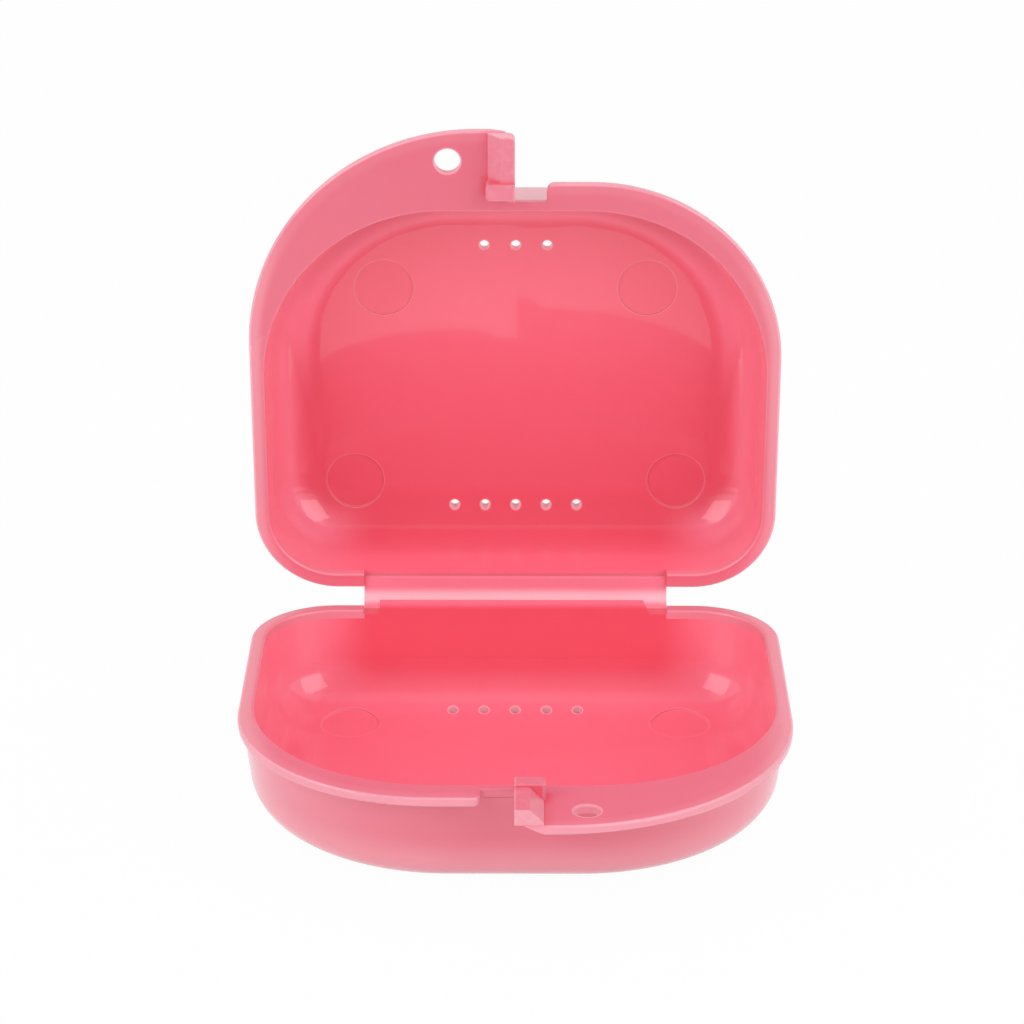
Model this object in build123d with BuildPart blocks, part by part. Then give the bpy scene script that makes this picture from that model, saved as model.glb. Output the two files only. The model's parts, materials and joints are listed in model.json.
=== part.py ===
"""A hinged orthodontic retainer case, moulded in one shot, standing open on its base.

Both halves come from the same outline: the lid is the base turned half a turn about the
front-to-back line, so each thumb ear faces the other half's narrow flange. Each half is drawn
in a half frame of its own: x to the right, y = 0 on the rear edge and negative towards the
front, z = 0 on the rim plane and positive out of the mouth.
Millimetres, +Z up, origin in the middle of the flat underside.
"""
from build123d import *
from math import cos, hypot, radians, sin
import os

# Rim outline
RIM_HALF_WIDTH = 41.3
RIM_FRONT = -68.9
REAR_CORNER = 13.0
FRONT_CORNER = 29.5
FLANGE_THICK = 1.4
EDGE_ROUND = 0.35

# Mouth, where the flange meets the inner wall
MOUTH_HALF_WIDTH = 39.1
MOUTH_REAR = -2.35
MOUTH_FRONT = -64.4
MOUTH_REAR_CORNER = 10.6
MOUTH_FRONT_CORNER = 28.0
MOUTH_ROUND = 0.35

# Bowl-shaped tub under the rim
DEPTH = 15.6
WALL = 1.4
SIDE_DRAFT = 0.8
SIDE_FLARE = 0.4
REAR_DRAFT = 0.3
FRONT_DRAFT = 3.0
INNER_FLOOR_ROUND = 7.4
OUTER_FLOOR_ROUND = 6.0

# Thumb ear with its lanyard hole
EAR_RADIUS = 35.4
EAR_CENTRE_Y = -42.0
LANYARD_HOLE = (10.3, -72.6)
LANYARD_RADIUS = 2.0

# Latch block on the end of each ear, and the notch that takes the other half's block
BLOCK_INNER = 0.06
BLOCK_OUTER = 4.2
BLOCK_HEIGHT = 2.3
BLOCK_FRONT = -77.2
BLOCK_CREST = 2.25
BLOCK_TOE = 0.3
CAP_REAR = -67.1
CAP_FRONT = -69.8
CAP_OUTER = 4.5
CAP_HEIGHT = 2.6
CAP_ROUND = 0.7
BLOCK_EDGE_ROUND = 0.2
BASE_BLOCK_CORNER = 0.2
LID_BLOCK_CORNER = 1.0
EAR_BEVEL_INNER = 1.3
EAR_BEVEL_OUTER = 4.4
NOTCH_LEFT = -4.75
NOTCH_REAR = -66.0
NOTCH_ROUND = 1.2

# Breathing holes through both floors, and the round marks of the ejector pins
VENT_RADIUS = 0.75
VENT_PITCH = 4.97
REAR_VENTS = (5, -7.4)
FRONT_VENTS = (3, -52.8)
PIN_RADIUS = 4.7
PIN_DEPTH = 0.22
REAR_PINS = (26.1, -11.6)
FRONT_PINS = (20.9, -45.5)

# Film hinge: a sunk land in both rear rims, a rib on the base and its groove in the lid
STRAP_HALF = 24.25
LAND_DEPTH = 0.6
FILM_THICK = 0.5
RIB_LEFT = -21.6
RIB_RIGHT = 21.3
RIB_SLANT = 0.9
RIB_THICK = 0.85
RIB_TOP = 1.5
GROOVE_DEPTH = 1.85
GROOVE_OUTER = -1.3

# How the two halves stand to each other
CLOSED_GAP = 0.1
FOLD_BEHIND = 2.1
OPEN_ANGLE = 85.4

# The half frame of the base in the part's own frame
OUTER_DEPTH = DEPTH + WALL
REAR_Y = 32.5

# Longer than anything that a cut has to clear
BEYOND = 20.0

fold_axis_y = REAR_Y + FOLD_BEHIND
fold_axis_z = OUTER_DEPTH + CLOSED_GAP / 2
open_sin = sin(radians(OPEN_ANGLE))
open_cos = cos(radians(OPEN_ANGLE))


def lid_point(y, z):
    """A point of the lid's half frame, as y and z in the part's own frame."""
    back = y - FOLD_BEHIND
    up = CLOSED_GAP / 2 - z
    return (
        fold_axis_y + back * open_cos + up * open_sin,
        fold_axis_z - back * open_sin + up * open_cos,
    )


base_face = Plane(origin=(0, REAR_Y, OUTER_DEPTH), x_dir=(1, 0, 0), z_dir=(0, 0, 1))
lid_face = Plane(
    origin=(0, *lid_point(0, 0)),
    x_dir=(-1, 0, 0),
    z_dir=(0, -open_sin, -open_cos),
)


def across(face, front):
    """The plane that looks at a half from its front, drawn as x and z of the half frame."""
    return Plane(origin=face.origin, x_dir=face.x_dir, z_dir=-face.y_dir).offset(-front)


def case_plan(half_width, rear, front, rear_corner, front_corner):
    """The D-shaped plan of the case."""
    with BuildSketch() as plan:
        with Locations((0, (rear + front) / 2)):
            Rectangle(2 * half_width, rear - front)
        fillet(plan.vertices().group_by(Axis.Y)[-1], rear_corner)
        fillet(plan.vertices().group_by(Axis.Y)[0], front_corner)
    return plan.sketch


def mouth_plan(outset=0.0, side=0.0, rear=0.0, front=0.0):
    """The inner wall's plan, moved out by outset and in by a draft on each side."""
    return case_plan(
        MOUTH_HALF_WIDTH + outset - side,
        MOUTH_REAR + outset - rear,
        MOUTH_FRONT - outset + front,
        MOUTH_REAR_CORNER + outset,
        MOUTH_FRONT_CORNER + outset + front / 2,
    )


def ear_plan():
    """The thumb ear: a quarter disc that ends square on the centre line."""
    behind = EAR_CENTRE_Y + BEYOND / 2
    with BuildSketch() as plan:
        with BuildLine():
            side = Line((RIM_HALF_WIDTH, behind), (RIM_HALF_WIDTH, EAR_CENTRE_Y))
            round_end = JernArc(side @ 1, (0, -1), EAR_RADIUS, -90)
            Polyline(round_end @ 1, (0, EAR_CENTRE_Y - EAR_RADIUS), (0, behind), side @ 0)
        make_face()
    return plan.sketch


def make_bowl(face, outset, flare, floor_round):
    """A solid bowl below the flange, drafted most at the front and rounded under."""
    with BuildPart() as bowl:
        with BuildSketch(face.offset(-FLANGE_THICK)):
            add(mouth_plan(outset, -flare))
        with BuildSketch(face.offset(-DEPTH - outset)):
            add(mouth_plan(outset, SIDE_DRAFT, REAR_DRAFT, FRONT_DRAFT))
        loft(ruled=True)
        floor = bowl.faces().sort_by(Axis(face.origin, face.z_dir))[0]
        fillet(floor.edges(), floor_round)
    return bowl.part


def make_pin_marks(face):
    """Round, shallow sinks where the ejector pins pushed, as deep on the rounding as on the floor."""
    with BuildPart() as marks:
        add(make_bowl(face, PIN_DEPTH, 0.0, INNER_FLOOR_ROUND))
        with BuildSketch(face.offset(-DEPTH / 2)):
            for x, y in (REAR_PINS, FRONT_PINS):
                with Locations((-x, y), (x, y)):
                    Circle(PIN_RADIUS)
        extrude(amount=-DEPTH, mode=Mode.INTERSECT)
    return marks.part


def make_tub(face, label, grooved):
    """One half's tub: bowl out of bowl, with vents, ejector marks and the rib's groove."""
    with BuildPart() as tub:
        add(make_bowl(face, WALL, SIDE_FLARE, OUTER_FLOOR_ROUND))
        add(make_bowl(face, 0.0, 0.0, INNER_FLOOR_ROUND), mode=Mode.SUBTRACT)
        add(make_pin_marks(face), mode=Mode.SUBTRACT)

        with BuildSketch(face.offset(-DEPTH / 2)):
            for count, y in (REAR_VENTS, FRONT_VENTS):
                with Locations((0, y)):
                    with GridLocations(VENT_PITCH, 1, count, 1):
                        Circle(VENT_RADIUS)
        extrude(amount=-DEPTH, mode=Mode.SUBTRACT)

        if grooved:
            with BuildSketch(face.offset(-FLANGE_THICK)):
                with Locations((0, GROOVE_OUTER)):
                    Rectangle(2 * STRAP_HALF, 2 * WALL, align=(Align.CENTER, Align.MAX))
            extrude(amount=FLANGE_THICK - GROOVE_DEPTH, mode=Mode.SUBTRACT)
    tub.part.label = label
    return tub.part


def make_rim(face, grooved):
    """The flat rim round one mouth, widened into the thumb ear and cut back for the latch."""
    up = Axis(face.origin, face.z_dir)
    with BuildPart() as rim:
        with BuildSketch(face) as plan:
            add(case_plan(RIM_HALF_WIDTH, 0, RIM_FRONT, REAR_CORNER, FRONT_CORNER))
            add(ear_plan())
            with Locations((NOTCH_LEFT, NOTCH_REAR)):
                Rectangle(-NOTCH_LEFT, BEYOND, align=(Align.MIN, Align.MAX), mode=Mode.SUBTRACT)
            flange_end = plan.vertices().sort_by_distance((NOTCH_LEFT, RIM_FRONT, 0))[0]
            fillet(flange_end, NOTCH_ROUND)
        extrude(amount=-FLANGE_THICK)
        flats = rim.faces().sort_by(up)
        fillet(flats[-1].edges() + flats[0].edges(), EDGE_ROUND)

        with BuildSketch(face):
            add(mouth_plan())
        extrude(amount=-FLANGE_THICK, mode=Mode.SUBTRACT)
        mouth = rim.faces().sort_by(up)[-1].inner_wires()[0]
        fillet(mouth.edges(), MOUTH_ROUND)

        with BuildSketch(face):
            with Locations(LANYARD_HOLE):
                Circle(LANYARD_RADIUS)
        extrude(amount=-FLANGE_THICK, mode=Mode.SUBTRACT)

        with BuildSketch(face):
            with Locations((0, MOUTH_REAR)):
                Rectangle(2 * STRAP_HALF, BEYOND, align=(Align.CENTER, Align.MIN))
        extrude(amount=-LAND_DEPTH, mode=Mode.SUBTRACT)
        if grooved:
            with BuildSketch(face):
                with Locations((0, GROOVE_OUTER)):
                    Rectangle(2 * STRAP_HALF, 2 * WALL, align=(Align.CENTER, Align.MAX))
            extrude(amount=-FLANGE_THICK, mode=Mode.SUBTRACT)

        with BuildSketch(across(face, NOTCH_REAR)):
            with BuildLine():
                Polyline(
                    (0, 0), (EAR_BEVEL_INNER, 0), (EAR_BEVEL_OUTER, -FLANGE_THICK),
                    (0, -FLANGE_THICK), close=True,
                )
            make_face()
        extrude(amount=BEYOND, mode=Mode.SUBTRACT)
    return rim.part


def make_ear_zone(face):
    """Everything of the rim in front of the notch line and right of the centre line."""
    with BuildPart() as zone:
        with BuildSketch(face):
            with Locations((0, NOTCH_REAR)):
                Rectangle(RIM_HALF_WIDTH, BEYOND, align=(Align.MIN, Align.MAX))
        extrude(amount=-FLANGE_THICK)
    return zone.part


def make_rim_flange(face, label, grooved):
    """The rim without the thumb ear, which is a piece of its own."""
    with BuildPart() as flange:
        add(make_rim(face, grooved))
        add(make_ear_zone(face), mode=Mode.SUBTRACT)
    flange.part.label = label
    return flange.part


def make_thumb_ear(face, label, grooved):
    """The ear that the thumb lifts, with the lanyard hole and a bevelled end under the block."""
    with BuildPart() as ear:
        add(make_rim(face, grooved))
        add(make_ear_zone(face), mode=Mode.INTERSECT)
    ear.part.label = label
    return ear.part


def make_latch_block(face, label, corner):
    """The snap block on the ear's end: a sloped ramp with a higher square cap behind it."""
    up = Axis(face.origin, face.z_dir)
    right = Axis(face.origin, face.x_dir)
    front = Axis(face.origin, -face.y_dir)
    with BuildPart() as block:
        with BuildSketch(across(face, CAP_FRONT)):
            with BuildLine():
                Polyline(
                    (BLOCK_INNER, 0), (BLOCK_OUTER, 0), (BLOCK_OUTER, BLOCK_TOE),
                    (BLOCK_CREST, BLOCK_HEIGHT), (BLOCK_INNER, BLOCK_HEIGHT), close=True,
                )
            make_face()
        extrude(amount=CAP_FRONT - BLOCK_FRONT)
        with BuildSketch(across(face, CAP_REAR)):
            with BuildLine():
                Polyline(
                    (BLOCK_INNER, 0), (CAP_OUTER, 0), (CAP_OUTER, CAP_HEIGHT),
                    (BLOCK_INNER, CAP_HEIGHT), close=True,
                )
            make_face()
        extrude(amount=CAP_REAR - CAP_FRONT)
        upright = block.edges().filter_by(up).group_by(right)
        fillet(upright[-1], CAP_ROUND)
        fillet(upright[0].sort_by(front)[-1], corner)
        ramp_top, cap_top = block.faces().sort_by(up)[-2:]
        free_edges = ramp_top.edges().sort_by(front)[1:]
        fillet(cap_top.edges() + free_edges, BLOCK_EDGE_ROUND)
    block.part.label = label
    return block.part


def make_hinge_rib(face, label):
    """The tongue on the base's rear rim that fills the lid's groove when the case is shut."""
    with BuildPart() as rib:
        with BuildSketch(across(face, MOUTH_REAR + RIB_THICK)):
            with BuildLine():
                Polyline(
                    (RIB_LEFT, -LAND_DEPTH), (RIB_RIGHT, -LAND_DEPTH),
                    (RIB_RIGHT - RIB_SLANT, RIB_TOP), (RIB_LEFT, RIB_TOP), close=True,
                )
            make_face()
        extrude(amount=RIB_THICK)
    rib.part.label = label
    return rib.part


def make_hinge_film(label):
    """The thin strap as it bends when open: one round arc that meets both rims squarely."""
    middle = -LAND_DEPTH - FILM_THICK / 2
    start = (REAR_Y, OUTER_DEPTH + middle)
    end = lid_point(0, middle)
    turn = 180 - OPEN_ANGLE
    chord = hypot(end[0] - start[0], end[1] - start[1])
    radius = chord / (2 * sin(radians(turn / 2)))
    half = FILM_THICK / 2
    with BuildPart() as film:
        with BuildSketch(Plane.YZ.offset(-STRAP_HALF)):
            with BuildLine():
                inner = JernArc((start[0], start[1] + half), (1, 0), radius - half, turn)
                outer = JernArc((start[0], start[1] - half), (1, 0), radius + half, turn)
                Line(inner @ 0, outer @ 0)
                Line(inner @ 1, outer @ 1)
            make_face()
        extrude(amount=2 * STRAP_HALF)
    film.part.label = label
    print("film bend radius", round(radius, 3), "length", round(radians(turn) * radius, 3))
    return film.part


os.makedirs("parts", exist_ok=True)
pieces = [
    make_tub(base_face, "base_tub", grooved=False),
    make_rim_flange(base_face, "base_rim_flange", grooved=False),
    make_thumb_ear(base_face, "base_thumb_ear", grooved=False),
    make_latch_block(base_face, "base_latch_block", BASE_BLOCK_CORNER),
    make_hinge_rib(base_face, "base_hinge_rib"),
    make_hinge_film("hinge_film"),
    make_tub(lid_face, "lid_tub", grooved=True),
    make_rim_flange(lid_face, "lid_rim_flange", grooved=True),
    make_thumb_ear(lid_face, "lid_thumb_ear", grooved=True),
    make_latch_block(lid_face, "lid_latch_block", LID_BLOCK_CORNER),
]
for piece in pieces:
    export_step(piece, f"parts/{piece.label}.step")
    print(piece.label, round(piece.volume, 1), "mm3")
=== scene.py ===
# %% [markdown]
# A retainer case in Blender
#
# The real object is one moulding of pink polypropylene: two bowls, joined by a thin strap that
# bends, and shut by two thumb ears whose blocks snap past each other. The rigid shapes come from
# the packed model as a fixed frame. This lesson gives them their finish, models the strap that
# bends, and sets up the studio.

# %% Load the fixed frame
import bpy
import json
from math import cos, pi, radians, sin
from mathutils import Matrix, Vector


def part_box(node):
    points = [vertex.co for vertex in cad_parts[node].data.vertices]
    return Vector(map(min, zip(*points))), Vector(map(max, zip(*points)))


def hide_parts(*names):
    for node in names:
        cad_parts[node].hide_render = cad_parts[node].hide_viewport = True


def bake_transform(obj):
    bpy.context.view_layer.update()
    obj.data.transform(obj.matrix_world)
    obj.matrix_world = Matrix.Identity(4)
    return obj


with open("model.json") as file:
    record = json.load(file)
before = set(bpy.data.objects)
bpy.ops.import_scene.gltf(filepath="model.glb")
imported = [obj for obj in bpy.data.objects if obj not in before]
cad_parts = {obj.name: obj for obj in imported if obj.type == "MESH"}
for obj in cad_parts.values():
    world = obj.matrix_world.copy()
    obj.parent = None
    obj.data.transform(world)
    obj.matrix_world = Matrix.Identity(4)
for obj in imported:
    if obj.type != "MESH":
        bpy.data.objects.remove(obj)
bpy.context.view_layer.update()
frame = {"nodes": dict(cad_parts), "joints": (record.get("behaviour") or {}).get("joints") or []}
print("nodes:", ", ".join(sorted(frame["nodes"])))

# %% [markdown]
# Everything is placed from a few facts that the frame already holds: the height of the rim plane,
# the line of the base's rear edge, and the axis about which the lid folds. The lid stands open in
# the frame, and the joint's lower limit is the turn that shuts it.

# %% Read the driving sizes from the frame
MM = 0.001
fold = frame["joints"][0]
fold_point = Vector(fold["pos_m"])
open_degrees = -fold["range_deg"][0]
open_angle = radians(open_degrees)
rim_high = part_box("base_rim_flange")[1]
film_low, film_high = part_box("hinge_film")
rear_edge = rim_high.y
rim_plane = rim_high.z
print("rim plane", round(rim_plane / MM, 2), "mm, lid open by", round(open_degrees, 1), "degrees")

# %% [markdown]
# Both halves are the same moulding, so one pattern can finish both, if it is drawn in a place that
# each half has: x to the right, y = 0 on the rear edge, z = 0 on the rim. A Mapping node of type
# Texture undoes a placement, so it only needs to know where each half stands.

# %% Say where each half stands
GAP_MIDDLE = fold_point.z - rim_plane


def lid_corner():
    """The middle of the lid's rear edge, on its rim plane."""
    back = rear_edge - fold_point.y
    return Vector((
        0,
        fold_point.y + back * cos(open_angle) + GAP_MIDDLE * sin(open_angle),
        fold_point.z - back * sin(open_angle) + GAP_MIDDLE * cos(open_angle),
    ))


def lid_turn():
    """The turn that takes a half's own axes to the open lid's."""
    axis_x = (-1, 0, 0)
    axis_y = (0, cos(open_angle), -sin(open_angle))
    axis_z = (0, -sin(open_angle), -cos(open_angle))
    return Matrix((axis_x, axis_y, axis_z)).transposed().to_euler()


HALVES = {
    "base": (Vector((0, rear_edge, rim_plane)), (0, 0, 0)),
    "lid": (lid_corner(), lid_turn()),
}
print("lid's rear edge at", [round(v / MM, 2) for v in HALVES["lid"][0]])

# %% [markdown]
# A shader is easier to read as sums than as boxes and wires. Wire holds one number on its way
# through a material, and Python's own operators add the Math nodes. Its rise and fall turn a
# distance into a share from 0 to 1, with soft ends, which is all that a painted edge needs.

# %% Write shader maths as Python
class Wire:
    """One number in a material; + - * / and the methods below add Math nodes to it."""

    def __init__(self, finish, socket):
        self.finish = finish
        self.socket = socket

    def math(self, operation, *others):
        return self.finish.node("ShaderNodeMath", {"operation": operation}, [self, *others])

    def __add__(self, other):
        return self.math("ADD", other)

    __radd__ = __add__

    def __sub__(self, other):
        return self.math("SUBTRACT", other)

    def __rsub__(self, other):
        return (self * -1) + other

    def __mul__(self, other):
        return self.math("MULTIPLY", other)

    __rmul__ = __mul__

    def __truediv__(self, other):
        return self.math("DIVIDE", other)

    def at_least(self, other):
        return self.math("MAXIMUM", other)

    def at_most(self, other):
        return self.math("MINIMUM", other)

    def size(self):
        return self.math("ABSOLUTE")

    def with_side(self, other):
        """The long side of a right triangle that has these two short ones."""
        return (self * self + other * other).math("SQRT")

    def rise(self, low, high):
        """0 below low, 1 above high, smooth between."""
        settings = {"interpolation_type": "SMOOTHSTEP"}
        return self.finish.node("ShaderNodeMapRange", settings, [self, low, high])

    def fall(self, low, high):
        """1 below low, 0 above high, smooth between."""
        return (self * -1).rise(-high, -low)


print("a Wire can also do:", ", ".join(name for name in vars(Wire) if not name.startswith("_")))

# %% [markdown]
# Finish holds one material, and its node method makes any other node from a type, its settings and
# its inputs. A Mix node has a set of sockets for each kind of value, so its colours go by number.

# %% Make a material node by node
MIX_SHARE = 0
MIX_FIRST_COLOUR = 6
MIX_SECOND_COLOUR = 7
MIX_COLOUR_OUT = 2


class Finish:
    """One material, made node by node."""

    def __init__(self, name):
        self.material = bpy.data.materials.new(name)
        self.material.use_nodes = True
        self.tree = self.material.node_tree
        self.shader = self.tree.nodes["Principled BSDF"]

    @classmethod
    def of_tree(cls, tree):
        """The same node writing for a tree that is no material, such as the world's."""
        finish = cls.__new__(cls)
        finish.tree = tree
        return finish

    def node(self, kind, settings=None, inputs=(), out=0):
        """A new node; inputs is a list in the node's order, or a dict by name or number."""
        made = self.tree.nodes.new(kind)
        for name, value in (settings or {}).items():
            setattr(made, name, value)
        named = inputs.items() if isinstance(inputs, dict) else enumerate(inputs)
        for key, value in named:
            if isinstance(value, Wire):
                self.tree.links.new(value.socket, made.inputs[key])
            else:
                made.inputs[key].default_value = value
        return Wire(self, made.outputs[out])

    def blend(self, share, first, second):
        """A colour that goes from first to second as share goes from 0 to 1."""
        inputs = {MIX_SHARE: share, MIX_FIRST_COLOUR: first, MIX_SECOND_COLOUR: second}
        return self.node("ShaderNodeMix", {"data_type": "RGBA"}, inputs, MIX_COLOUR_OUT)

    def split(self, vector, axes="XYZ"):
        """The parts of a vector, as numbers."""
        return [self.node("ShaderNodeSeparateXYZ", inputs=[vector], out=axis) for axis in axes]

    def place(self, half):
        """Where a point lies in a half's own axes, in millimetres, and that as three numbers."""
        spot, turn = HALVES[half]
        coords = self.node("ShaderNodeTexCoord", out="Object")
        at = self.node(
            "ShaderNodeMapping", {"vector_type": "TEXTURE"}, [coords, spot, turn, (MM, MM, MM)],
        )
        return at, self.split(at)

    def noise(self, at, scale, detail=3.0, roughness=0.5):
        """Cloudy noise from 0 to 1; scale is its waves per millimetre."""
        inputs = {"Vector": at, "Scale": scale, "Detail": detail, "Roughness": roughness}
        return self.node("ShaderNodeTexNoise", inputs=inputs)

    def bump(self, height, strength, distance):
        """A tilt of the surface, as if it had this height."""
        inputs = {"Strength": strength, "Distance": distance, "Height": height}
        return self.node("ShaderNodeBump", inputs=inputs)

    def set(self, **values):
        """Sets or links the shader's sockets, which are named in words with _ for a space."""
        for name, value in values.items():
            socket = self.shader.inputs[name.replace("_", " ")]
            if isinstance(value, Wire):
                self.tree.links.new(value.socket, socket)
            else:
                socket.default_value = value
        return self.material


print("a Finish can do:", ", ".join(name for name in vars(Finish) if not name.startswith("_")))

# %% [markdown]
# The finish changes from place to place, so it has to know how far a point lies from the outlines
# that the mould drew: the D-shaped rim, the mouth inside it, the bowl's inner skin below that, and
# the quarter disc of the thumb ear. An image could carry such zones, but sums stay sharp at any
# size. Each function gives that distance in millimetres, negative inside.

# %% Measure from the rim, the mouth and the bowl
RIM = {"half_width": rim_high.x / MM, "front": -68.9, "rear": 0.0, "front_round": 29.5, "rear_round": 13.0}
MOUTH = {"half_width": 39.1, "front": -64.4, "rear": -2.35, "front_round": 28.0, "rear_round": 10.6}
FLANGE_THICK = 1.4
EAR_ROUND = 35.4
EAR_MIDDLE = (rim_high.x / MM - EAR_ROUND, -42.0)
FLOOR_LEVEL = -15.6
FLOOR_ROUND = 7.4
SIDE_DRAFT = 0.8
REAR_DRAFT = 0.3
FRONT_DRAFT = 3.0


def from_outline(x, y, half_width, front, rear, front_round, rear_round):
    """Distance from a D shape with round corners, larger in front."""
    wide = x.size() - half_width
    ahead = (wide + front_round).at_least(0).with_side((front + front_round - y).at_least(0))
    behind = (wide + rear_round).at_least(0).with_side((y - rear + rear_round).at_least(0))
    return (ahead - front_round).at_least(behind - rear_round)


def from_inner_skin(x, y, z):
    """Distance from the bowl's inner skin: walls drafted most in front, round at the floor."""
    down = (z * -1 - FLANGE_THICK).at_least(0) / (-FLOOR_LEVEL - FLANGE_THICK)
    past_wall = from_outline(
        x, y,
        half_width=MOUTH["half_width"] - down * SIDE_DRAFT,
        front=MOUTH["front"] + down * FRONT_DRAFT,
        rear=MOUTH["rear"] - down * REAR_DRAFT,
        front_round=MOUTH["front_round"] + down * (FRONT_DRAFT / 2),
        rear_round=MOUTH["rear_round"],
    )
    below = (z * -1 + FLOOR_LEVEL + FLOOR_ROUND).at_least(0)
    return (past_wall + FLOOR_ROUND).at_least(0).with_side(below) - FLOOR_ROUND


def from_edge(x, y):
    """Distance from the flange's outer edge, the thumb ear included."""
    over = (x - EAR_MIDDLE[0]).at_least(0)
    ahead = (EAR_MIDDLE[1] - y).at_least(0)
    ear = (over.with_side(ahead) - EAR_ROUND).at_least(x * -1).at_least(y - EAR_MIDDLE[1])
    return from_outline(x, y, **RIM).at_most(ear)


print("mouth", 2 * MOUTH["half_width"], "by", round(MOUTH["rear"] - MOUTH["front"], 2), "mm")

# %% [markdown]
# The moulding also carries marks and holes: the round lines of the ejector pins that pushed it out
# of the mould, the vents in both floors, and the hole for a lanyard in each ear. Both sides of a
# half mirror each other here, so the size of x finds the nearest pin or vent on either side.

# %% Measure from the marks and holes
PIN_ROUND = 4.7
PINS = ((26.1, -11.6), (20.9, -45.5))
VENT_ROUND = 0.75
VENT_PITCH = 4.97
VENT_ROWS = ((-7.4, 12.0), (-52.8, 7.0))
LANYARD_HOLE = (10.3, -72.6)
LANYARD_ROUND = 2.0


def from_pins(x, y):
    """Distance from the nearest ejector pin's round outline."""
    rings = [(x.size() - px).with_side(y - py) - PIN_ROUND for px, py in PINS]
    return rings[0].at_most(rings[1])


def from_vents(x, y):
    """Distance from the nearest vent, in the row of five or the row of three."""
    beside = x.size().math("PINGPONG", VENT_PITCH / 2)
    rows = [(beside.with_side(y - row) - VENT_ROUND).at_least(x.size() - end) for row, end in VENT_ROWS]
    return rows[0].at_most(rows[1])


def from_lanyard_hole(x, y):
    """Distance from the hole in the thumb ear."""
    return (x - LANYARD_HOLE[0]).with_side(y - LANYARD_HOLE[1]) - LANYARD_ROUND


print("pins", 2 * PIN_ROUND, "mm, vents", 2 * VENT_ROUND, "mm, lanyard holes", 2 * LANYARD_ROUND, "mm across")

# %% [markdown]
# The moulding is one pink, but it never shows one colour. Light falls through the milky plastic, so
# thin places look pale and thick corners deep, and the outside, which mirrors the white floor, looks
# paler than the inside of the bowls. The pinks below paint that glow, shade and reflection into the
# colour. The open lid has the light behind it and the base has it above, so some tones differ by
# half. Screens store colour by a curve that Blender's own numbers don't have, so each is converted.

# %% Choose the pinks
SCREEN_STEPS = 255
CURVE_START = 0.04045


def colour(red, green, blue):
    """A colour given as it looks on a screen, from 0 to 255, as Blender wants it."""
    parts = [part / SCREEN_STEPS for part in (red, green, blue)]
    return [p / 12.92 if p <= CURVE_START else ((p + 0.055) / 1.055) ** 2.4 for p in parts] + [1]


# Painted light: the floor, wall and corner pinks hold painted glow and shade, the OUTSIDE pinks a painted
# reflection and glow, PALE, THIN, THINNEST and RIB_TOP painted glow and highlight, and DEEP painted shade as
# well as random clouds. Where the base and the lid have different tones of one kind, they are lit and shaded
# copies of one pink.
FLOOR_REAR = {"base": colour(253, 120, 144), "lid": colour(234, 95, 115)}
FLOOR_FRONT = {"base": colour(253, 120, 144), "lid": colour(247, 110, 131)}
REAR_WALL = {"base": colour(238, 91, 110), "lid": colour(253, 119, 144)}
SIDE_WALL = colour(255, 138, 161)
FRONT_WALL = colour(255, 155, 170)
CORNER = colour(238, 98, 119)
REAR_CORNER = colour(236, 85, 105)
OUTSIDE = colour(232, 118, 137)
OUTSIDE_LOW = {"base": colour(243, 155, 169), "lid": colour(236, 128, 146)}
OUTSIDE_SIDE = colour(238, 135, 153)
FLANGE = {"base": colour(231, 118, 139), "lid": colour(228, 112, 132)}
FLANGE_REAR = {"base": FLANGE["base"], "lid": colour(240, 112, 135)}
BLOCK = {"base": colour(229, 119, 139), "lid": colour(232, 128, 148)}
PALE = colour(252, 190, 202)
THIN = colour(254, 144, 167)
THINNEST = colour(255, 198, 211)
RIB_TOP = colour(250, 136, 160)
DEEP = colour(236, 60, 84)
print("the base's floor in Blender's numbers:", [round(part, 3) for part in FLOOR_REAR["base"]])

# %% [markdown]
# Polypropylene is waxy, and glossy where the mould was polished. It is never quite flat: the melt
# leaves faint flow waves about 20 mm long, and handling leaves fine marks that only the gloss shows.
# Waves this shallow would need a very fine mesh, so both are noise in the roughness and the bump.
# Every piece starts and ends with the same steps, and only its colours are its own.

# %% Start and end every plastic
WAVES = {"scale": 0.05, "detail": 2.0}
FINE_MARKS = {"scale": 1.8, "detail": 4.0, "roughness": 0.6}
CLOUDS = {"scale": 0.11}
NOISE_MEAN = 0.5
WAVE_ROUGHNESS = 0.03
MARK_ROUGHNESS = 0.05
WAVE_HEIGHT = 0.5
MARK_HEIGHT = 0.01
RELIEF = 0.3 * MM
RELIEF_STRENGTH = 0.25
CLOUDS_FROM = 0.3
CLOUDS_SHARE = 0.14


def start_plastic(name, half, roughness, lean=0.0):
    """Flow waves and handling marks; lean tips the mirror image, as a warped floor does."""
    finish = Finish(name)
    at, place = finish.place(half)
    waves = finish.noise(at, **WAVES)
    marks = finish.noise(at, **FINE_MARKS)
    rough = (marks - NOISE_MEAN) * MARK_ROUGHNESS + (waves - NOISE_MEAN) * WAVE_ROUGHNESS + roughness
    height = waves * WAVE_HEIGHT + marks * MARK_HEIGHT + place[1] * lean
    return finish, at, place, rough, height


def end_plastic(finish, at, tone, rough, height):
    """Clouds the colour a little and sets what every plastic piece has in common."""
    cloudy = (finish.noise(at, **CLOUDS) - CLOUDS_FROM).at_least(0) * CLOUDS_SHARE
    return finish.set(
        Base_Color=finish.blend(cloudy, tone, DEEP),
        Roughness=rough, IOR=1.5, Specular_IOR_Level=0.62, Sheen_Weight=0.1, Sheen_Roughness=0.4,
        Normal=finish.bump(height, RELIEF_STRENGTH, RELIEF),
    )


print("flow waves are about", round(1 / WAVES["scale"]), "mm long")

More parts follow.
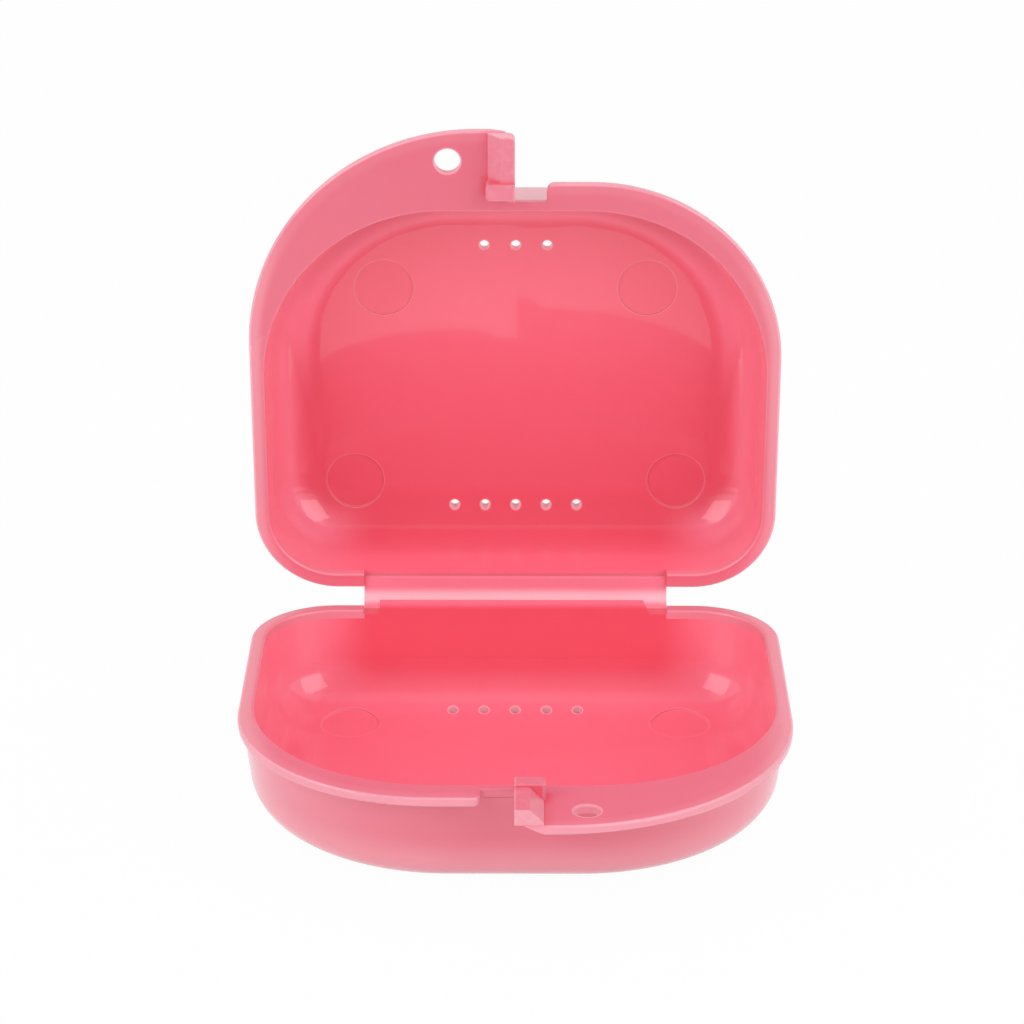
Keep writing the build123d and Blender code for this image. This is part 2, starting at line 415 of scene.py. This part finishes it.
# %% [markdown]
# Each bowl glows, because light enters its outside and leaves inside: drafted walls look pale, and
# the thick rounded corners deep. Subsurface scattering could show that, but it is slow and the
# exported model loses it, so the glow is painted by place: by height, by the distance past the
# mouth's outline, and by how far back a point lies. Each pair of numbers holds the two places
# between which a tone changes.

# %% Paint the inside of a bowl
SIDE_ZONE = (22.0, 33.0)
REAR_ZONE = (-12.0, -7.0)
FLOOR_FADE = (-48.0, -4.0)
BASE_GLOW_HEIGHT = (-15.4, -9.5)
BASE_GLOW_WALL = (-12.0, -7.0)
LID_CORNER_WALL = (-10.4, -6.0)
LID_CORNER_BACK = (-44.0, -26.0)
LID_SIDE_GLOW = (-5.6, -2.0)
LID_REAR_GLOW = (-13.0, -5.0)
LID_FRONT_ZONE = (-42.0, -24.0)
LID_FRONT_GLOW = (-15.7, -15.2)
LID_FRONT_WALL = (-58.0, -44.0)


# Every tone here is painted: glow where light comes through the walls, shade in the thick corners and on the
# base's rear wall, which the open lid keeps from the light, and the lid's floor painted deeper towards its
# rear.
def bowl_inside(finish, half, x, y, z):
    """Painted glow and shade of the floor, corners and walls, as they look from inside the bowl."""
    past_wall = from_outline(x, y, **MOUTH)
    behind = y.rise(*REAR_ZONE) * (1 - x.size().rise(*SIDE_ZONE))
    floor = finish.blend(y.rise(*FLOOR_FADE), FLOOR_FRONT[half], FLOOR_REAR[half])
    wall = finish.blend(behind, SIDE_WALL, REAR_WALL[half])
    if half == "base":
        return finish.blend(z.rise(*BASE_GLOW_HEIGHT) * past_wall.rise(*BASE_GLOW_WALL), floor, wall)

    corner = finish.blend(behind, CORNER, REAR_CORNER)
    corner_share = past_wall.rise(*LID_CORNER_WALL) * y.rise(*LID_CORNER_BACK)
    wall = finish.blend(y.fall(*LID_FRONT_WALL), wall, FRONT_WALL)
    glow = past_wall.rise(*LID_SIDE_GLOW) * (1 - behind) + z.rise(*LID_REAR_GLOW) * behind
    front_glow = y.fall(*LID_FRONT_ZONE) * z.rise(*LID_FRONT_GLOW)
    return finish.blend(glow.at_least(front_glow), finish.blend(corner_share, floor, corner), wall)


print("inside tones change from", LID_REAR_GLOW[0], "to", LID_REAR_GLOW[1], "mm up the lid's rear wall")

# %% [markdown]
# Outside, a bowl is satin rather than glossy, and painted paler to the sides and towards its rounded
# floor, where it mirrors the white floor and glows: painted reflection and glow. The solids already
# hold the shallow steps that the ejector pins left, and the vents. The paint adds what light makes of
# them: a fine painted highlight round each pin, and a pale wall in each vent, painted light that
# comes through from the floor below.

# %% Paint the bowls
BOWL_ROUGHNESS = 0.05
SATIN_ROUGHNESS = 0.1
SATIN_HEIGHT = (-12.0, -8.0)
LID_LEAN = 0.16
SKIN_CROSSED = (0.5, 0.9)
OUTSIDE_FADE = (8.0, 38.0)
OUTSIDE_LOW_FADE = (-14.5, -8.0)
RING_LINE = (0.05, 0.2)
RING_HEIGHT = (-9.0, -8.0)
RING_SHARE = 0.25
VENT_LINE = (0.0, 0.3)
VENT_SHARE = {"base": 0.9, "lid": 0.65}


def bowl_outside(finish, half, x, z):
    """The outer skin's pink, painted paler to the sides and low down as reflection and glow."""
    skin = finish.blend(x.size().rise(*OUTSIDE_FADE), OUTSIDE, OUTSIDE_SIDE)
    return finish.blend(z.fall(*OUTSIDE_LOW_FADE), skin, OUTSIDE_LOW[half])


def bowl_marks(half, outside, x, y, z):
    """How far the pins' rings and the vents' walls are pale: a painted highlight on the rings, painted light
    through the vents.
    """
    ring = from_pins(x, y).size().fall(*RING_LINE) * (1 - outside) * z.fall(*RING_HEIGHT) * RING_SHARE
    vent = from_vents(x, y).fall(*VENT_LINE) * VENT_SHARE[half]
    return ring.at_least(vent)


def tub_plastic(name, half):
    """A bowl: painted glow on its walls, painted shade in its deep pink corners, an outside painted paler by
    reflection and glow, fine painted highlights round the pins.
    """
    lean = LID_LEAN if half == "lid" else 0.0
    finish, at, (x, y, z), rough, height = start_plastic(name, half, BOWL_ROUGHNESS, lean)
    outside = from_inner_skin(x, y, z).rise(*SKIN_CROSSED)
    tone = finish.blend(outside, bowl_inside(finish, half, x, y, z), bowl_outside(finish, half, x, z))
    tone = finish.blend(bowl_marks(half, outside, x, y, z), tone, PALE)
    rough = rough + outside.at_least(z.rise(*SATIN_HEIGHT)) * SATIN_ROUGHNESS
    return end_plastic(finish, at, tone, rough, height)


NODE_FINISH = {f"{half}_tub": tub_plastic(f"{half}_tub_pink", half) for half in HALVES}
print("bowls:", ", ".join(NODE_FINISH))

# %% [markdown]
# The flange and its thumb ear are satin and thin. Light runs along inside such a sheet and leaves at
# its edges, so they get a pale line along the outer edge, the mouth, the lid's groove and the
# lanyard hole. A mask from the edge's angle could find them, but distance keeps each line as wide
# as it is on the real rim.

# %% Find the pale lines of a rim
LINE_TOP = (-0.3, -0.05)
LINE_LOW = (-FLANGE_THICK, 0.25 - FLANGE_THICK)
NEAR_EDGE = (-2.4, -0.8)
AT_EDGE = (-0.5, -0.05)
FAR_SIDE = (34.0, 40.0)
NEAR_SHARE = 0.1
FAR_SIDE_SHARE = {"base": 0.06, "lid": 0.24}
EDGE_SHARE = 0.3
LINE_SHARE = 0.2
MOUTH_LINE = (0.1, 0.45)
MOUTH_SHARE = 0.35
GROOVE_MIDDLE = -1.3
GROOVE_LINE = (0.05, 0.2)
GROOVE_SHARE = 0.4
HOLE_LINE = (0.0, 0.35)
HOLE_TOP = (-0.5, -0.2)
HOLE_SHARE = 0.15
HOLE_TOP_SHARE = 0.45
STRAP_HALF = 24.25
STRAP_SIDE = (STRAP_HALF - 0.4, STRAP_HALF)
BEHIND_MOUTH = (-3.0, -2.4)


def outer_lines(half, x, y, z):
    """How pale the flange is along its outer edge."""
    edge = from_edge(x, y)
    lines = z.rise(*LINE_TOP).at_least(z.fall(*LINE_LOW))
    beside = edge.rise(*NEAR_EDGE) * (x.size().rise(*FAR_SIDE) * FAR_SIDE_SHARE[half] + NEAR_SHARE)
    return beside + edge.rise(*AT_EDGE) * (lines * LINE_SHARE + EDGE_SHARE)


def mouth_lines(half, behind_mouth, x, y):
    """How pale the flange is along the mouth, and along the groove in the lid."""
    lip = from_outline(x, y, **MOUTH).fall(*MOUTH_LINE) * MOUTH_SHARE
    if half == "base":
        return lip * (1 - behind_mouth)
    groove = (y - GROOVE_MIDDLE).size().fall(*GROOVE_LINE) * GROOVE_SHARE
    return lip.at_least(groove * x.size().fall(*STRAP_SIDE))


def hole_line(x, y, z):
    """How pale the ear is round its lanyard hole."""
    return from_lanyard_hole(x, y).fall(*HOLE_LINE) * (z.rise(*HOLE_TOP) * HOLE_TOP_SHARE + HOLE_SHARE)


print("the strip behind the mouth is", 2 * STRAP_HALF, "mm wide")

# %% [markdown]
# Where the snap block stands on the ear, the plastic is thick, and the top face beside it is painted
# its deepest pink as shade, most of all by the cap. Behind the mouth, the base's flange is the top of
# its rear wall and takes that wall's painted shade, and the lid's is thinned by the groove and is
# painted paler with light, each instead of the flange's own tone.

# %% Paint the rims and the thumb ears
RIM_ROUGHNESS = 0.2
REAR_FLANGE = (-18.0, -8.0)
BLOCK_INNER = 0.06
BLOCK_OUTER = 4.2
BLOCK_FRONT = -77.2
CAP_REAR = -67.1
CAP_FRONT = -69.8
EAR_SIDE = (-0.5, 0.0)
TOP_FACE = (-0.5, -0.1)
EAR_BEHIND = (CAP_REAR - 0.6, CAP_REAR + 0.6)
BY_BLOCK = (BLOCK_OUTER, BLOCK_OUTER + 1.8)
BY_CAP = (CAP_FRONT - 1.2, CAP_FRONT)
BLOCK_SHADE = 0.2
CAP_SHADE = 0.4


def block_shade(x, y, z):
    """How much painted shade the ear's top face gets beside the block, most of all by its cap."""
    on_ear = x.rise(*EAR_SIDE) * z.rise(*TOP_FACE) * y.fall(*EAR_BEHIND)
    return on_ear * x.fall(*BY_BLOCK) * (y.rise(*BY_CAP) * CAP_SHADE + BLOCK_SHADE)


def rim_plastic(name, half):
    """The flange and its ear: satin, with painted pale lines of light where it is thin and painted shade by
    the block.
    """
    finish, at, (x, y, z), rough, height = start_plastic(name, half, RIM_ROUGHNESS)
    behind_mouth = y.rise(*BEHIND_MOUTH) * x.size().fall(*STRAP_SIDE)
    lip = mouth_lines(half, behind_mouth, x, y)
    pale = outer_lines(half, x, y, z).at_least(lip).at_least(hole_line(x, y, z))
    flat = finish.blend(y.rise(*REAR_FLANGE), FLANGE[half], FLANGE_REAR[half])
    tone = finish.blend(pale, flat, PALE)
    tone = finish.blend(block_shade(x, y, z), tone, DEEP)
    if half == "base":
        tone = finish.blend(behind_mouth, tone, REAR_WALL[half])
    else:
        tone = finish.blend(behind_mouth * (1 - lip), tone, THIN)
    return end_plastic(finish, at, tone, rough, height)


for half in HALVES:
    NODE_FINISH[f"{half}_rim_flange"] = rim_plastic(f"{half}_rim_pink", half)
    NODE_FINISH[f"{half}_thumb_ear"] = NODE_FINISH[f"{half}_rim_flange"]
print("rims and ears share", len(HALVES), "finishes, one a half")

# %% [markdown]
# The snap blocks rub past each other each time the case is shut, so they are duller than the rest
# and frosty in patches. Their rounded edges get a painted pale highlight, and the corner where the
# cap meets the ramp is thick and painted deep pink as the shade below the cap. Noise with a cut-off
# gives frost in patches, where plain noise would only be cloudy.

# %% Paint the snap blocks
BLOCK_ROUGHNESS = 0.3
FROST = {"scale": 0.9, "detail": 4.0, "roughness": 0.7}
FROST_FROM = 0.45
FROST_SHARE = 0.7
EDGE_HIGHLIGHT_SHARE = 0.4
HIGHLIGHT_SIDE = (BLOCK_INNER, BLOCK_INNER + 0.35)
HIGHLIGHT_FRONT = (BLOCK_FRONT, BLOCK_FRONT + 0.4)
HIGHLIGHT_REAR = (CAP_REAR - 0.35, CAP_REAR)
CORNER_FRONT = (CAP_FRONT - 0.9, CAP_FRONT - 0.1)
CORNER_REAR = (CAP_FRONT, CAP_FRONT + 0.1)
CORNER_SHADE = 0.5


def block_plastic(name, half):
    """The snap block: frosty in patches, a painted highlight along its edges, painted shade where the cap
    meets the ramp.
    """
    finish, at, (x, y, _), rough, height = start_plastic(name, half, BLOCK_ROUGHNESS)
    edge_highlight = x.fall(*HIGHLIGHT_SIDE).at_least(y.fall(*HIGHLIGHT_FRONT).at_least(y.rise(*HIGHLIGHT_REAR)))
    frost = (finish.noise(at, **FROST) - FROST_FROM).at_least(0)
    tone = finish.blend(edge_highlight * EDGE_HIGHLIGHT_SHARE + frost * FROST_SHARE, BLOCK[half], PALE)
    corner = y.rise(*CORNER_FRONT) * y.fall(*CORNER_REAR)
    return end_plastic(finish, at, finish.blend(corner * CORNER_SHADE, tone, DEEP), rough, height)


for half in HALVES:
    NODE_FINISH[f"{half}_latch_block"] = block_plastic(f"{half}_latch_pink", half)
print("blocks:", ", ".join(name for name in NODE_FINISH if name.endswith("block")))

# %% [markdown]
# The low rib on the base's rear rim and the strap behind it are the thinnest plastic, and a pale band
# of painted glow and highlight shows where they are thinnest and face the light; the rib's other tone
# is the base's rear wall with its painted shade. Both run straight along x, so height alone places the
# pale band.
# Once each finish is there, it takes the place of its node's plain one.

# %% Paint the thin pieces and give each node its finish
RIB_PALE_FROM = (0.1, 1.5)
RIB_PALE_TO = (2.0, 3.0)


def thin_plastic(name, pale_from, pale_to, thick_tone, thin_tone):
    """A piece with a pale band of painted glow and highlight, which starts and ends at these heights above
    the rim.
    """
    finish, at, (_, _, z), rough, height = start_plastic(name, "base", RIM_ROUGHNESS)
    thin = z.rise(*pale_from) * z.fall(*pale_to)
    return end_plastic(finish, at, finish.blend(thin, thick_tone, thin_tone), rough, height)


NODE_FINISH["base_hinge_rib"] = thin_plastic(
    "rib_pink", RIB_PALE_FROM, RIB_PALE_TO, REAR_WALL["base"], RIB_TOP,
)
for name, finish in NODE_FINISH.items():
    frame["nodes"][name].data.materials.clear()
    frame["nodes"][name].data.materials.append(finish)
print("finished", len(NODE_FINISH), "nodes")

# %% [markdown]
# The strap between the halves is the one piece that changes shape, so it is modelled here with
# enough steps round its bend. It starts as a thin bar in the base's rim and is spun about the middle
# of the bend, as a bender would form it. The bend's radius follows from its two ends: they stand a
# chord apart, and the strap turns by what the open lid leaves of half a turn.

# %% Work out the strap's bend
FILM_THICK = 0.5 * MM
film_turn = pi - open_angle
film_start = Vector((0, rear_edge, film_low.z + FILM_THICK / 2))


def bend_radius():
    """The radius of the strap's round bend, from its frame box."""
    chord = HALVES["lid"][0] - HALVES["base"][0]
    depth = rim_plane - film_start.z
    reach = Vector((0, chord.y + depth * sin(open_angle), chord.z + depth * cos(open_angle) + depth))
    return reach.length / (2 * sin(film_turn / 2))


film_radius = bend_radius()
print("the strap bends at a radius of", round(film_radius / MM, 2), "mm")

# %% [markdown]
# The strap's end is a small plane, as wide and as thick as the strap, cut three times each way so
# that no face is needlessly long. Spin extrudes it round the bend in short steps, and those steps
# let the strap bend smoothly in other poses. A bar bent by a modifier would need the same steps.

# %% Model the hinge strap
FILM_STEPS = 28
FILM_CUTS = 3
MERGE_WITHIN = 1e-6
LOWEST_CORNER = 0
HIGHEST_CORNER = 6
STRAP_PALE_FROM = (-0.6, 0.2)
STRAP_PALE_TO = (0.5, 2.0)


def settle(piece):
    """Puts the piece's place into its mesh, so that its object sits at the origin."""
    bpy.ops.object.select_all(action="DESELECT")
    piece.select_set(True)
    bpy.context.view_layer.objects.active = piece
    bpy.ops.object.transform_apply(location=True, rotation=True, scale=True)


bpy.ops.object.select_all(action="DESELECT")
bpy.ops.mesh.primitive_plane_add(size=1, location=film_start, rotation=(pi / 2, 0, 0))
film = bpy.context.object
film.name = "hinge_strap"
film.scale = (film_high.x - film_low.x, FILM_THICK, 1)
settle(film)
bpy.ops.object.mode_set(mode="EDIT")
bpy.ops.mesh.select_all(action="SELECT")
bpy.ops.mesh.subdivide(number_cuts=FILM_CUTS)
bpy.ops.mesh.spin(
    steps=FILM_STEPS, angle=film_turn, center=film_start + Vector((0, 0, film_radius)), axis=(-1, 0, 0),
)
bpy.ops.mesh.select_all(action="SELECT")
bpy.ops.mesh.remove_doubles(threshold=MERGE_WITHIN)
bpy.ops.mesh.normals_make_consistent(inside=False)
bpy.ops.object.mode_set(mode="OBJECT")
low, high = [Vector(film.bound_box[corner]) for corner in (LOWEST_CORNER, HIGHEST_CORNER)]
print("strap from", [round(v / MM, 2) for v in low], "to", [round(v / MM, 2) for v in high],
      "frame's", [round(v / MM, 2) for v in film_low], [round(v / MM, 2) for v in film_high])
film.data.materials.append(thin_plastic("strap_pink", STRAP_PALE_FROM, STRAP_PALE_TO, THIN, THINNEST))
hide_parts("hinge_film")
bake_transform(film)

# %% [markdown]
# The studio is plain: a pale floor and a white world. Both are shown whiter to the camera, the
# gloss and clear plastic than they are as light, so the background is white and the case is still
# lit at a plain level. The floor keeps a share of its own shading, and with it the case's shadow.
# The gloss sees the floor's front edge and the world above it darker, where the photographer stands.

# %% Lay the floor
SHOWN_WHITE = 0.97
FRONT_DARK = 0.8
FLOOR_WIDTH = 6
FLOOR_DROP = 0.02 * MM
PAPER = colour(242, 242, 243)
PAPER_ROUGHNESS = 0.9
STUDIO_FRONT = (-0.16, -0.12)
WHITE = (1, 1, 1, 1)
BLACK = (0, 0, 0, 1)


def seen_directly(finish):
    """1 for rays from the camera or clear plastic, and 1 for rays from a mirror image."""
    camera_ray = finish.node("ShaderNodeLightPath", out="Is Camera Ray")
    clear_ray = finish.node("ShaderNodeLightPath", out="Is Transmission Ray")
    return camera_ray.at_least(clear_ray), finish.node("ShaderNodeLightPath", out="Is Glossy Ray")


bpy.ops.object.select_all(action="DESELECT")
bpy.ops.mesh.primitive_plane_add(size=FLOOR_WIDTH, location=(0, 0, -FLOOR_DROP))
floor = bpy.context.object
floor.name = "floor"
paper = Finish("paper_floor")
paper.set(Base_Color=PAPER, Roughness=PAPER_ROUGHNESS)
seen, mirrored = seen_directly(paper)
spot = paper.node("ShaderNodeTexCoord", out="Object")
darker = mirrored * paper.split(spot, "Y")[0].fall(*STUDIO_FRONT) * FRONT_DARK
glow = paper.node("ShaderNodeEmission", inputs={"Color": paper.blend(darker, WHITE, BLACK)})
lit = Wire(paper, paper.shader.outputs["BSDF"])
shown = paper.node("ShaderNodeMixShader", inputs=[seen.at_least(mirrored) * SHOWN_WHITE, lit, glow])
paper.tree.links.new(shown.socket, paper.tree.nodes["Material Output"].inputs["Surface"])
floor.data.materials.append(paper.material)
print("floor", FLOOR_WIDTH, "m wide,", round(FLOOR_DROP / MM, 2), "mm below the case")

# %% [markdown]
# The world lights the case evenly from all round, which is what a light tent does. Its strength is
# a sum of shares, one for what it gives as light, and one for what it adds where it is seen.

# %% Set the world
SKY_LIGHT = 0.64
FRONT_SIDES = (0.3, 0.6)
FRONT_AHEAD = (0.0, 0.3)

world = bpy.data.worlds.new("studio")
world.use_nodes = True
bpy.context.scene.world = world
sky = Finish.of_tree(world.node_tree)
background = world.node_tree.nodes["Background"]
background.inputs["Color"].default_value = WHITE
seen, mirrored = seen_directly(sky)
toward_x, toward_y = sky.split(sky.node("ShaderNodeTexCoord", out="Object"), "XY")
front = toward_x.size().fall(*FRONT_SIDES) * toward_y.fall(*FRONT_AHEAD)
strength = seen.at_least(mirrored) * (1 - SKY_LIGHT) + SKY_LIGHT - mirrored * front * FRONT_DARK
world.node_tree.links.new(strength.socket, background.inputs["Strength"])
print("world lights at", SKY_LIGHT, "and shows at 1")

# %% [markdown]
# Three soft square lamps shape the case: a wide weak one overhead, and a box to each side in front,
# whose mirror images are the bright patches in the rounded corners of the bowls. One large lamp
# would light as well, but it would leave the corners without those patches.

# %% Hang the lamps
LAMPS = {
    "overhead": {"place": (0, 0.1, 1.0), "size": 1.2, "watts": 1.5},
    "left_box": {"place": (-0.438, -0.347, 0.365), "size": 0.5, "watts": 1.4},
    "right_box": {"place": (0.438, -0.347, 0.365), "size": 0.5, "watts": 1.4},
}
LAMPS_AIM = Vector((0, 0.02, 0.035))


def hang(name, place, size, watts):
    """A square soft lamp at place that looks at the middle of the case."""
    light = bpy.data.lights.new(name, "AREA")
    light.size = size
    light.energy = watts
    holder = bpy.data.objects.new(name, light)
    bpy.context.scene.collection.objects.link(holder)
    holder.location = place
    holder.rotation_euler = (LAMPS_AIM - Vector(place)).to_track_quat("-Z", "Y").to_euler()


for name, lamp in LAMPS.items():
    hang(name, **lamp)
print("lamps:", ", ".join(LAMPS))

# %% [markdown]
# The camera stands where the photograph was taken: its place, its tilt and its lens were found
# from points of both halves whose true places are known.

# %% Place the camera
CAMERA_FROM_EDGE = Vector((1.293, -496.426, 215.003)) * MM
LOOKS_DOWN = 21.845
LOOKS_LEFT = 0.211

view = bpy.data.cameras.new("photo_view")
view.lens = 118.73
view.sensor_width = 36
view.clip_start = 0.01
camera = bpy.data.objects.new("photo_view", view)
bpy.context.scene.collection.objects.link(camera)
camera.location = CAMERA_FROM_EDGE + HALVES["base"][0]
camera.rotation_euler = (radians(90 - LOOKS_DOWN), 0, radians(LOOKS_LEFT))
bpy.context.scene.camera = camera
bpy.context.scene.view_settings.view_transform = "Standard"
print("camera", round((camera.location - fold_point).length, 3), "m from the hinge")

# %% [markdown]
# The dressed case may not be larger than the solid one.
